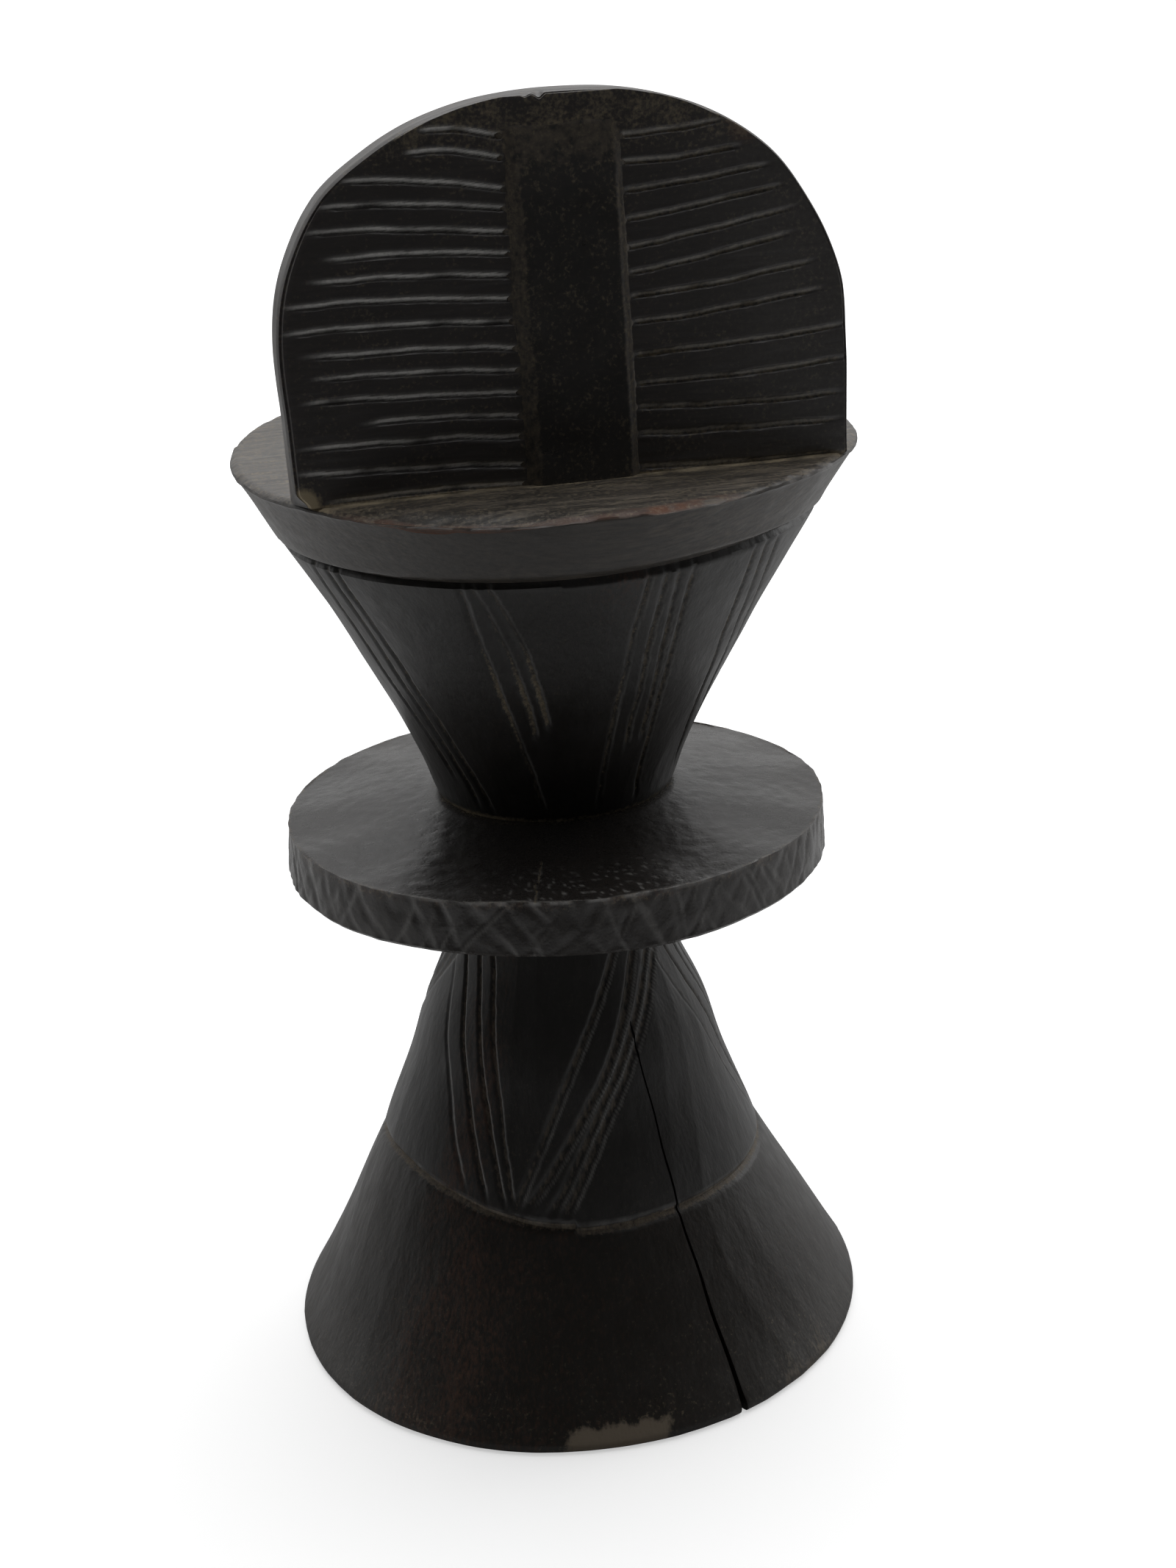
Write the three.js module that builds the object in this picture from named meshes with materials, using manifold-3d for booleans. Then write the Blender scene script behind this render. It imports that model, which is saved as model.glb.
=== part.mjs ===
// Carved hardwood headrest: a flared foot, a waist disc, an inverted cone, a flat round platform
// and one upright round-topped plate. The real piece is cut from a single block, so each carved
// section is its own solid here, and the sections meet face to face. Millimetres, +Z up. The
// origin is the middle of the foot's underside and the plate's carved face looks towards -Y.
import * as THREE from 'three';
import { mergeVertices } from 'three/addons/utils/BufferGeometryUtils.js';
import Module from 'manifold-3d';

const wasm = await Module();
wasm.setup();

// Heights of the carved sections, from the surface that the headrest stands on.
const footRingHeight = 29;
const footHeight = 75.5;
const discEdge = 7.7;
const discCrown = 2.8;
const coneHeight = 40.8;
const collarHeight = 9.4;

// Radii of the sections.
const footRadius = 44.4;
const footRingRadius = 29;
const footTopRadius = 13.8;
const discRadius = 39.7;
const discTopRadius = 39.3;
const neckRadius = 17.1;
const collarFootRadius = 37.5;
const platformRadius = 43.5;

// How far the two cones are hollowed below a straight side, halfway up.
const footHollow = 0.9;
const coneHollow = 1.2;

// V-cut rings: where the skirt meets the foot's cone, and under the collar.
const ringDepth = 0.8;
const ringHalfWidth = 0.8;
const collarRingDepth = 1.1;
const collarRingHalfWidth = 0.9;

// Upright plate.
const plateWidth = 72.6;
const plateHeight = 47.7;
const plateThickness = 7.2;
const plateSetForward = 25.5;
const plateSetLeft = 0.6;
const plateOverhang = 0.9;
const plateStraightSide = 17;
const archFullness = 2.25;

// Raised band down the middle of the plate's face.
const bandWidth = 15.8;
const bandCrownWidth = 11.8;
const bandRelief = 1.2;
const bandSetRight = 0.4;
const bandTopGap = 3.5;

// Drying crack up the foot: its bearing, reach, mouth width and depth into the wood.
const crackBearing = THREE.MathUtils.degToRad(290);
const crackHeight = 55;
const crackMouth = 1.5;
const crackDepth = 9;

// The carver's axis wanders sideways by this much at each level.
const footWander = -0.8;
const waistWander = -0.3;
const platformWander = 0.9;

const segments = 80;

// Heights that follow from the sizes above.
const discTop = footHeight + discEdge;
const neckHeight = discTop + discCrown;
const collarRingHeight = neckHeight + coneHeight;
const platformHeight = collarRingHeight + collarHeight;

const wood = {
  dark: { color: 0x1f1a17, roughness: 0.42, metalness: 0 },
  worn: { color: 0x2b211b, roughness: 0.5, metalness: 0 },
  polished: { color: 0x171412, roughness: 0.3, metalness: 0 },
};

const headrest = new THREE.Group();

function addPiece(name, geometry, finish) {
  const mesh = new THREE.Mesh(geometry, new THREE.MeshStandardMaterial(finish));
  mesh.name = name;
  headrest.add(mesh);
  return mesh;
}

// Sideways wander of the carver's axis at a height.
function wander(z) {
  const levels = [0, footHeight, neckHeight, collarRingHeight];
  const shifts = [footWander, waistWander, waistWander, platformWander];
  for (let i = 1; i < levels.length; i += 1) {
    if (z <= levels[i]) {
      const share = (z - levels[i - 1]) / (levels[i] - levels[i - 1]);
      return THREE.MathUtils.lerp(shifts[i - 1], shifts[i], Math.max(share, 0));
    }
  }
  return platformWander;
}

function followAxis(geometry) {
  const points = geometry.attributes.position;
  for (let i = 0; i < points.count; i += 1) {
    points.setX(i, points.getX(i) + wander(points.getZ(i)));
  }
  return geometry;
}

// A section turned about the axis from [radius, height] points that run from bottom to top.
function turned(outline) {
  const first = outline[0];
  const last = outline[outline.length - 1];
  const closed = [[0, first[1]], ...outline, [0, last[1]]];
  const profile = closed.map(([radius, height]) => new THREE.Vector2(radius, height));
  const geometry = new THREE.LatheGeometry(profile, segments);
  geometry.rotateX(Math.PI / 2);
  return followAxis(geometry);
}

// Points along a side that is hollowed slightly between two [radius, height] ends.
function hollowSide([r0, z0], [r1, z1], hollow, steps = 5) {
  const side = [];
  for (let i = 0; i <= steps; i += 1) {
    const share = i / steps;
    const radius = THREE.MathUtils.lerp(r0, r1, share) - hollow * 4 * share * (1 - share);
    side.push([radius, THREE.MathUtils.lerp(z0, z1, share)]);
  }
  return side;
}

function toSolid(geometry) {
  const bare = new THREE.BufferGeometry();
  bare.setAttribute('position', geometry.attributes.position.clone());
  if (geometry.index) {
    bare.setIndex(geometry.index.clone());
  }
  const merged = mergeVertices(bare, 1e-4);
  const faces = [];
  for (let i = 0; i < merged.index.count; i += 3) {
    const corners = [0, 1, 2].map((k) => merged.index.getX(i + k));
    if (new Set(corners).size === 3) {
      faces.push(...corners);
    }
  }
  const mesh = new wasm.Mesh({
    numProp: 3,
    vertProperties: new Float32Array(merged.attributes.position.array),
    triVerts: new Uint32Array(faces),
  });
  return new wasm.Manifold(mesh);
}

function toGeometry(solid) {
  const mesh = solid.getMesh();
  const geometry = new THREE.BufferGeometry();
  geometry.setAttribute('position', new THREE.BufferAttribute(mesh.vertProperties, 3));
  geometry.setIndex(new THREE.BufferAttribute(mesh.triVerts, 1));
  return geometry;
}

// The drying crack: a thin wedge, open at the surface, that follows the foot's slope and closes
// at its top. The wedge leans with the foot, so it is cut from a triangle in the radial plane.
function crackWedge() {
  const slope = (footRadius - footRingRadius) / footRingHeight;
  const topRadius = footRadius - slope * crackHeight;
  const overshoot = 4;
  const plan = new THREE.Shape();
  plan.moveTo(footRadius + overshoot, -1);
  plan.lineTo(footRadius + overshoot, crackHeight);
  plan.lineTo(topRadius, crackHeight);
  plan.lineTo(footRadius - crackDepth, -1);
  plan.closePath();
  const wedge = new THREE.ExtrudeGeometry(plan, { depth: crackMouth, bevelEnabled: false });
  wedge.translate(0, 0, -crackMouth / 2);
  const points = wedge.attributes.position;
  for (let i = 0; i < points.count; i += 1) {
    const closing = 1 - Math.max(points.getY(i), 0) / (crackHeight * 1.2);
    points.setZ(i, points.getZ(i) * closing);
  }
  wedge.rotateX(Math.PI / 2);
  wedge.rotateZ(crackBearing);
  wedge.translate(footWander, 0, 0);
  return toSolid(wedge);
}

// Flared skirt, from the rim that stands on the ground up to the V-cut ring.
const skirtSide = hollowSide(
  [footRadius, 0],
  [footRingRadius + ringDepth / 2, footRingHeight - ringHalfWidth],
  footHollow * 0.4,
);
const skirt = turned([...skirtSide, [footRingRadius - ringDepth, footRingHeight]]);
addPiece('foot_skirt', toGeometry(toSolid(skirt).subtract(crackWedge())), wood.worn);

// Cone of the foot, from the ring up to the underside of the waist disc.
const footSide = hollowSide(
  [footRingRadius - ringDepth / 2, footRingHeight + ringHalfWidth],
  [footTopRadius, footHeight],
  footHollow,
);
const footCone = turned([[footRingRadius - ringDepth, footRingHeight], ...footSide]);
addPiece('foot_cone', toGeometry(toSolid(footCone).subtract(crackWedge())), wood.dark);

// Waist disc, with a low crown that rises to the neck.
addPiece('waist_disc', turned([
  [discRadius - 0.4, footHeight],
  [discRadius, footHeight + 0.6],
  [discTopRadius, discTop],
  [neckRadius, neckHeight],
]), wood.polished);

// Inverted cone above the disc.
const coneSide = hollowSide(
  [neckRadius, neckHeight],
  [collarFootRadius - collarRingDepth / 2, collarRingHeight - collarRingHalfWidth],
  coneHollow,
);
addPiece('upper_cone', turned([
  ...coneSide,
  [collarFootRadius - collarRingDepth, collarRingHeight],
]), wood.dark);

// Platform: the smooth collar and the flat top that the plate stands on.
addPiece('platform', turned([
  [collarFootRadius - collarRingDepth, collarRingHeight],
  [collarFootRadius + collarRingDepth / 2, collarRingHeight + collarRingHalfWidth],
  [platformRadius - 0.3, platformHeight - 0.8],
  [platformRadius - 0.3, platformHeight],
]), wood.worn);

// Outline of the plate from its foot corner over the arch: straight sides, then a full arch.
function plateOutline(inset) {
  const half = plateWidth / 2 - inset;
  const rise = plateHeight - plateStraightSide - inset;
  const steps = 40;
  const outline = new THREE.Shape();
  outline.moveTo(-half, 0);
  outline.lineTo(half, 0);
  for (let i = 0; i <= steps; i += 1) {
    const angle = (Math.PI * i) / steps;
    const across = Math.sign(Math.cos(angle)) * Math.abs(Math.cos(angle)) ** (2 / archFullness);
    const up = Math.sin(angle) ** (2 / archFullness);
    outline.lineTo(half * across, plateStraightSide + rise * up);
  }
  outline.closePath();
  return outline;
}

// Upright plate, standing on the platform. Its lower corners are trimmed round, just past the
// platform's rim.
const plateGeometry = new THREE.ExtrudeGeometry(plateOutline(0), {
  depth: plateThickness,
  bevelEnabled: false,
});
plateGeometry.rotateX(Math.PI / 2);
const plateMiddle = platformWander - plateSetLeft;
plateGeometry.translate(plateMiddle, plateThickness - plateSetForward, platformHeight);
const cornerRadius = platformRadius + plateOverhang;
const rimCylinder = new THREE.CylinderGeometry(
  cornerRadius,
  cornerRadius,
  plateHeight + 2,
  segments * 2,
);
rimCylinder.rotateX(Math.PI / 2);
rimCylinder.translate(platformWander, 0, platformHeight + plateHeight / 2);
addPiece(
  'upright_plate',
  toGeometry(toSolid(plateGeometry).intersect(toSolid(rimCylinder))),
  wood.dark,
);

// Raised band down the plate's face: a flat crown between two sloping flanks.
const bandSection = new THREE.Shape();
bandSection.moveTo(-bandWidth / 2, 0);
bandSection.lineTo(-bandCrownWidth / 2, -bandRelief);
bandSection.lineTo(bandCrownWidth / 2, -bandRelief);
bandSection.lineTo(bandWidth / 2, 0);
bandSection.closePath();
const bandGeometry = new THREE.ExtrudeGeometry(bandSection, {
  depth: plateHeight - bandTopGap,
  bevelEnabled: false,
});
bandGeometry.translate(plateMiddle + bandSetRight, -plateSetForward, platformHeight);
addPiece('centre_band', bandGeometry, wood.polished);

export default headrest;
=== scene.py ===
import math

import bpy
from mathutils import Euler, Matrix, Vector, noise


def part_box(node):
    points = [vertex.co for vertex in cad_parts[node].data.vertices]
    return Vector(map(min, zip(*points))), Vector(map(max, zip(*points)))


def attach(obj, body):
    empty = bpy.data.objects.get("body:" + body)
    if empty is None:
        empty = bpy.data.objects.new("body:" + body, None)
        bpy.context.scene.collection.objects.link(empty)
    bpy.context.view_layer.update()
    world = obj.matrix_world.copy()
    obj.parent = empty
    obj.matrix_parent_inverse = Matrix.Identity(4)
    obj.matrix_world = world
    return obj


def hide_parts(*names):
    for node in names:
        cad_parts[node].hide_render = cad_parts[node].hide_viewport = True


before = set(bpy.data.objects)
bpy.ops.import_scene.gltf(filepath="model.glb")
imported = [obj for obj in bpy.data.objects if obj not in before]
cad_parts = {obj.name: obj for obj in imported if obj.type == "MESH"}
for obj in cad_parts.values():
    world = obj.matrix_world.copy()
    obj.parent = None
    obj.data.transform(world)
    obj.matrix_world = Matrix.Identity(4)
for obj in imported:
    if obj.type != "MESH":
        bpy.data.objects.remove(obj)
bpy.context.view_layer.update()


# Camera: a hand-held view from a little left of the plate's face, above the arch and looking
# down at the waist, tipped slightly to one side as a hand holds it.
VIEW_TURN = math.radians(12.3)
MM = 0.001

camera_data = bpy.data.cameras.new("camera")
camera_data.lens = 52.0
camera = bpy.data.objects.new("camera", camera_data)
bpy.context.scene.collection.objects.link(camera)
camera_place = Matrix.Rotation(-VIEW_TURN, 4, "Z") @ Vector((4.7, -308.0, 204.7)) * MM
camera_turn = Euler((math.radians(90 - 21.28), 0, -VIEW_TURN)).to_matrix().to_4x4()
camera_roll = Matrix.Rotation(math.radians(-3.02), 4, "Z")
camera.matrix_world = Matrix.Translation(camera_place) @ camera_turn @ camera_roll
bpy.context.scene.camera = camera
bpy.context.scene.view_settings.view_transform = "Standard"


# Stage: a pale floor and a white surround that lights brightly from behind and beside the
# headrest and dimly from in front and overhead, so that faces turned to the viewer stay black and
# flanks turn grey. Both are plain white to the camera itself.
TO_VIEWER = Vector((-math.sin(VIEW_TURN), -math.cos(VIEW_TURN), 0))
LIGHT_BEHIND = 0.62
LIGHT_IN_FRONT = 0.06
LIGHT_OVERHEAD = 0.3


def srgb(code):
    """Linear colour, with alpha, from an sRGB hex code such as #1c1714."""
    parts = [int(code[i : i + 2], 16) / 255 for i in (1, 3, 5)]
    return [p / 12.92 if p <= 0.04045 else ((p + 0.055) / 1.055) ** 2.4 for p in parts] + [1]


def add_node(tree, kind, inputs=None, **settings):
    """Adds a node with its settings, and fills its inputs with values or with other sockets."""
    node = tree.nodes.new(kind)
    for name, value in settings.items():
        setattr(node, name, value)
    for key, value in (inputs or {}).items():
        if isinstance(value, bpy.types.NodeSocket):
            tree.links.new(value, node.inputs[key])
        else:
            node.inputs[key].default_value = value
    return node


def white_surround():
    """A white world whose light depends on the direction it comes from."""
    world = bpy.data.worlds.new("studio")
    world.use_nodes = True
    tree = world.node_tree
    tree.nodes.clear()
    direction = add_node(tree, "ShaderNodeTexCoord").outputs["Generated"]
    facing = add_node(tree, "ShaderNodeVectorMath", {0: direction, 1: TO_VIEWER},
                      operation="DOT_PRODUCT").outputs["Value"]
    level = add_node(tree, "ShaderNodeMapRange",
                     {"Value": facing, "From Min": -0.45, "From Max": 0.4,
                      "To Min": LIGHT_BEHIND, "To Max": LIGHT_IN_FRONT},
                     interpolation_type="SMOOTHSTEP").outputs["Result"]
    upward = add_node(tree, "ShaderNodeSeparateXYZ", {0: direction}).outputs["Z"]
    ceiling = add_node(tree, "ShaderNodeMapRange",
                       {"Value": upward, "From Min": 0.5, "From Max": 0.95,
                        "To Min": 1.0, "To Max": LIGHT_OVERHEAD}).outputs["Result"]
    dimmed = add_node(tree, "ShaderNodeMath", {0: level, 1: ceiling},
                      operation="MULTIPLY").outputs[0]
    seen = add_node(tree, "ShaderNodeLightPath").outputs["Is Camera Ray"]
    strength = add_node(tree, "ShaderNodeMix", {0: seen, 2: dimmed, 3: 1.0},
                        data_type="FLOAT").outputs[0]
    light = add_node(tree, "ShaderNodeBackground", {"Color": srgb("#ffffff"), "Strength": strength})
    add_node(tree, "ShaderNodeOutputWorld", {"Surface": light.outputs[0]})
    bpy.context.scene.world = world


def pale_floor():
    """A paper floor, white to the camera, that shows reflections a painted shade: pale beside the
    foot and dark in front of it.
    """
    bpy.ops.object.select_all(action="DESELECT")
    bpy.ops.mesh.primitive_plane_add(size=16)
    floor = bpy.context.object
    floor.name = "floor"
    material = bpy.data.materials.new("pale_paper")
    material.use_nodes = True
    tree = material.node_tree
    place = add_node(tree, "ShaderNodeTexCoord").outputs["Object"]
    ahead = add_node(tree, "ShaderNodeVectorMath", {0: place, 1: TO_VIEWER},
                     operation="DOT_PRODUCT").outputs["Value"]
    shade = add_node(tree, "ShaderNodeMapRange",
                     {"Value": ahead, "From Min": 0.10, "From Max": 0.42},
                     interpolation_type="SMOOTHSTEP").outputs["Result"]
    seen = add_node(tree, "ShaderNodeLightPath").outputs["Is Camera Ray"]
    # Painted shade: what reflections see of the floor, darkening in front of the headrest.
    painted_floor_shade = add_node(tree, "ShaderNodeMix",
                        {0: shade, 6: srgb("#c4c4c4"), 7: srgb("#0b0b0b")},
                        data_type="RGBA").outputs[2]
    colour = add_node(tree, "ShaderNodeMix", {0: seen, 6: painted_floor_shade, 7: srgb("#f4f4f4")},
                      data_type="RGBA").outputs[2]
    paper = tree.nodes["Principled BSDF"]
    tree.links.new(colour, paper.inputs["Base Color"])
    away = add_node(tree, "ShaderNodeVectorMath", {0: place}, operation="LENGTH").outputs["Value"]
    fill = add_node(tree, "ShaderNodeMapRange",
                    {"Value": away, "From Min": 0.2, "From Max": 1.6,
                     "To Min": 0.5, "To Max": 1.0}).outputs["Result"]
    glow = add_node(tree, "ShaderNodeMath", {0: seen, 1: fill}, operation="MULTIPLY").outputs[0]
    paper.inputs["Emission Color"].default_value = srgb("#ffffff")
    tree.links.new(glow, paper.inputs["Emission Strength"])
    paper.inputs["Roughness"].default_value = 0.9
    paper.inputs["Specular IOR Level"].default_value = 0.1
    floor.data.materials.append(material)


def softbox(name, place, aim, size, power):
    """A square lamp, in metres and watts, turned towards a point."""
    light = bpy.data.lights.new(name, "AREA")
    light.size = size
    light.energy = power
    lamp = bpy.data.objects.new(name, light)
    bpy.context.scene.collection.objects.link(lamp)
    lamp.location = place
    lamp.rotation_euler = (Vector(aim) - Vector(place)).to_track_quat("-Z", "Y").to_euler()


white_surround()
pale_floor()
softbox("overhead", (0.15, 0.35, 1.3), (0, 0, 0.05), 1.4, 14.0)
softbox("side_window", (1.3, 0.5, 0.5), (0, 0, 0.08), 0.7, 1.5)


# Foot skirt: the flared lower part of the foot, planed in soft flats with a knife or adze from
# dark stained hardwood. Its rim is worn round, one edge has lost its stain, and a drying crack
# runs up from the rim.
WEDGES = 72
STEPS_IN_WEDGE = 10
CRACK_BEARING = 290.0
CRACK_TOP = 55.0
CRACK_DEPTH = 9.0
CRACK_STATIONS = 28
RING_DEPTH = 0.6
RING_HALF = 0.75
RIM_CORNER = 1.1
SMOOTH_ANGLE = 38.0
DUSTY_ROUGHNESS = 0.85

# Sideways shift of the carver's axis, as (height, shift).
AXIS_SHIFTS = ((0.0, -0.8), (75.5, -0.3), (86.0, -0.1), (126.8, 1.15), (400.0, 1.15))

low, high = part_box("foot_skirt")
foot_radius = (high.x - low.x) / 2 / MM
ring_height = high.z / MM
ring_radius = 29.0


def smooth(value, start, end):
    """0 before start, 1 after end, and an eased step between them."""
    share = min(max((value - start) / (end - start), 0.0), 1.0)
    return share * share * (3 - 2 * share)


def turn_between(bearing, centre):
    """Signed angle in degrees from centre to bearing, the short way round."""
    return (bearing - centre + 180.0) % 360.0 - 180.0


def swell(value, centre, reach):
    """1 at the centre, easing to 0 at reach to either side. Bearings wrap round at 360."""
    return 1 - smooth(abs(turn_between(value, centre)), 0.0, reach)


def jitter(x, y, z):
    """Smooth random number, mostly from -1 to 1, that is fixed by its place."""
    return noise.noise(Vector((x, y, z)))


def ripple(x, y, z, size):
    """Smooth random height from 0 to 1 with bumps of about size millimetres."""
    return 0.5 + 0.5 * jitter(x / size, y / size, z / size)


def on_circle(bearing, radius):
    """x and y of a point at a bearing and a radius from the axis."""
    angle = math.radians(bearing)
    return radius * math.cos(angle), radius * math.sin(angle)


def pick(piece):
    """Selects one piece and nothing else, ready to be worked on."""
    bpy.ops.object.select_all(action="DESELECT")
    piece.select_set(True)
    bpy.context.view_layer.objects.active = piece


def close_up():
    """Turns every face outward and leaves edit mode."""
    bpy.ops.mesh.select_all(action="SELECT")
    bpy.ops.mesh.normals_make_consistent(inside=False)
    bpy.ops.object.mode_set(mode="OBJECT")


def wander(height):
    """Sideways shift of the carver's axis, which isn't quite straight."""
    for (z0, s0), (z1, s1) in zip(AXIS_SHIFTS, AXIS_SHIFTS[1:]):
        if height <= z1:
            return s0 + (s1 - s0) * max(height - z0, 0.0) / (z1 - z0)


def side_rows(start, end, hollow, step):
    """[radius, height] rows up a side that is hollowed a little between its two ends."""
    count = max(2, round(abs(end[1] - start[1]) / step))
    rows = []
    for i in range(count + 1):
        share = i / count
        radius = start[0] + (end[0] - start[0]) * share - hollow * 4 * share * (1 - share)
        rows.append((radius, start[1] + (end[1] - start[1]) * share))
    return rows


def turned(name, rows):
    """A closed solid from [radius, height] rows that start and end on the axis: the outline is
    spun through one narrow wedge, and copies of the wedge are spun the rest of the way."""
    bpy.ops.object.select_all(action="DESELECT")
    bpy.ops.mesh.primitive_plane_add(size=MM)
    piece = bpy.context.object
    piece.name = name
    bpy.ops.object.mode_set(mode="EDIT")
    bpy.ops.mesh.select_all(action="SELECT")
    bpy.ops.mesh.merge(type="CENTER")
    first_radius, first_height = rows[0]
    bpy.ops.transform.translate(value=(first_radius * MM, 0, first_height * MM))
    for (r0, z0), (r1, z1) in zip(rows, rows[1:]):
        step = ((r1 - r0) * MM, 0, (z1 - z0) * MM)
        bpy.ops.mesh.extrude_vertices_move(TRANSFORM_OT_translate={"value": step})
    full_turn = 2 * math.pi
    wedge = full_turn / WEDGES
    bpy.ops.mesh.select_all(action="SELECT")
    bpy.ops.mesh.spin(steps=STEPS_IN_WEDGE, angle=wedge, axis=(0, 0, 1), center=(0, 0, 0))
    bpy.ops.mesh.select_all(action="SELECT")
    bpy.ops.mesh.spin(steps=WEDGES - 1, angle=full_turn - wedge, dupli=True,
                      axis=(0, 0, 1), center=(0, 0, 0))
    bpy.ops.mesh.select_all(action="SELECT")
    bpy.ops.mesh.remove_doubles(threshold=1e-6)
    close_up()
    return piece


def carve(piece, cut):
    """Moves every vertex as cut(bearing, radius, height) says, and stores its colour marks:
    red for dust in the cuts, green for stain worn to red-brown, blue for bare wood, and
    a fourth value for painted highlights: near-white colour along the lips beside cuts and on
    edges, standing in for the light they catch."""
    mesh = piece.data
    marks = mesh.color_attributes.new("marks", "FLOAT_COLOR", "POINT")
    for vertex, mark in zip(mesh.vertices, marks.data):
        x, y, z = vertex.co / MM
        bearing = math.degrees(math.atan2(y, x)) % 360.0
        radius, height, colours = cut(bearing, math.hypot(x, y), z)
        x, y = on_circle(bearing, radius)
        vertex.co = ((x + wander(height)) * MM, y * MM, height * MM)
        mark.color = (*colours, 0.0)[:4]
    mesh.update()


def knife_cut(distance, half_width, depth):
    """Depth of a V cut, slightly rounded at its bottom, at a distance from its line."""
    share = abs(distance) / half_width
    return depth * (1 - share ** 1.4) if share < 1 else 0.0


def hand_finish(bearing, radius, height, flats, depth):
    """How far the knife left a side below true: broad uneven flats and small dents."""
    x, y = on_circle(bearing, radius)
    drift = 1.5 * jitter(height / 45, bearing / 50, flats)
    across = (bearing / 360.0 * flats + drift) % 1.0 - 0.5
    broad = depth * (1 - 4 * across * across) * ripple(x, y, height / 3, 18.0)
    dents = jitter(x / 2.6, y / 2.6, height / 6.5)
    return broad + 0.2 * ripple(x, y, height, 15.0) + 0.035 * (1 + dents)


def shade_curves(piece):
    """Shades soft curves smoothly and leaves knife edges crisp."""
    pick(piece)
    bpy.ops.object.shade_smooth_by_angle(angle=math.radians(SMOOTH_ANGLE))


def crack_half(height):
    """Half the crack's width, which opens towards the rim and is chipped wide at its mouth."""
    share = max(height, 0.0) / CRACK_TOP
    return 0.1 + 0.5 * (1 - share) ** 1.2 + 0.4 * (1 - smooth(height, 0.0, 3.5))


def crack_drift(height):
    """How far the crack strays sideways from its bearing."""
    return 0.55 * jitter(height / 9.0, 3.1, 0) - 0.03 * height + 0.5


def split_open(piece):
    """Cuts the drying crack, a thin meandering wedge that narrows as it climbs. Its two walls
    stay dark, with no dust or wear on them."""
    bearing = math.radians(CRACK_BEARING)
    below_rim, outside = 2.0, 4.0
    points = []
    faces = []
    for i in range(CRACK_STATIONS + 1):
        share = i / CRACK_STATIONS
        height = -below_rim + (CRACK_TOP + below_rim) * share
        surface = foot_radius - (foot_radius - ring_radius) * height / ring_height
        surface = max(surface, 14.0)
        half = crack_half(height)
        drift = crack_drift(height)
        inner = surface - CRACK_DEPTH * (1 - 0.7 * share) - 1.0
        for radius, across in ((surface + outside, half), (surface + outside, -half),
                               (inner, 0.0)):
            side = across + drift
            x = radius * math.cos(bearing) - side * math.sin(bearing) + wander(height)
            y = radius * math.sin(bearing) + side * math.cos(bearing)
            points.append((x * MM, y * MM, height * MM))
    for i in range(CRACK_STATIONS):
        a, b, c = 3 * i, 3 * i + 1, 3 * i + 2
        faces += [(a, a + 3, b + 3, b), (b, b + 3, c + 3, c), (c, c + 3, a + 3, a)]
    last = 3 * CRACK_STATIONS
    faces += [(0, 1, 2), (last, last + 2, last + 1)]
    wedge_mesh = bpy.data.meshes.new("crack_wedge")
    wedge_mesh.from_pydata(points, [], faces)
    wedge = bpy.data.objects.new("crack_wedge", wedge_mesh)
    bpy.context.scene.collection.objects.link(wedge)
    pick(wedge)
    bpy.ops.object.mode_set(mode="EDIT")
    close_up()
    pick(piece)
    boolean = piece.modifiers.new("crack", "BOOLEAN")
    boolean.operation = "DIFFERENCE"
    boolean.solver = "EXACT"
    boolean.object = wedge
    bpy.ops.object.modifier_apply(modifier=boolean.name)
    bpy.data.objects.remove(wedge)
    marks = piece.data.color_attributes["marks"].data
    for vertex, mark in zip(piece.data.vertices, marks):
        x, y, height = vertex.co / MM
        side = y * math.cos(bearing) - (x - wander(height)) * math.sin(bearing)
        ahead = x * math.cos(bearing) + y * math.sin(bearing)
        if height < CRACK_TOP and ahead > 0:
            if abs(side - crack_drift(height)) < crack_half(height) + 0.02:
                mark.color = (0.0, 0.0, 0.0, 0.0)


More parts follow.
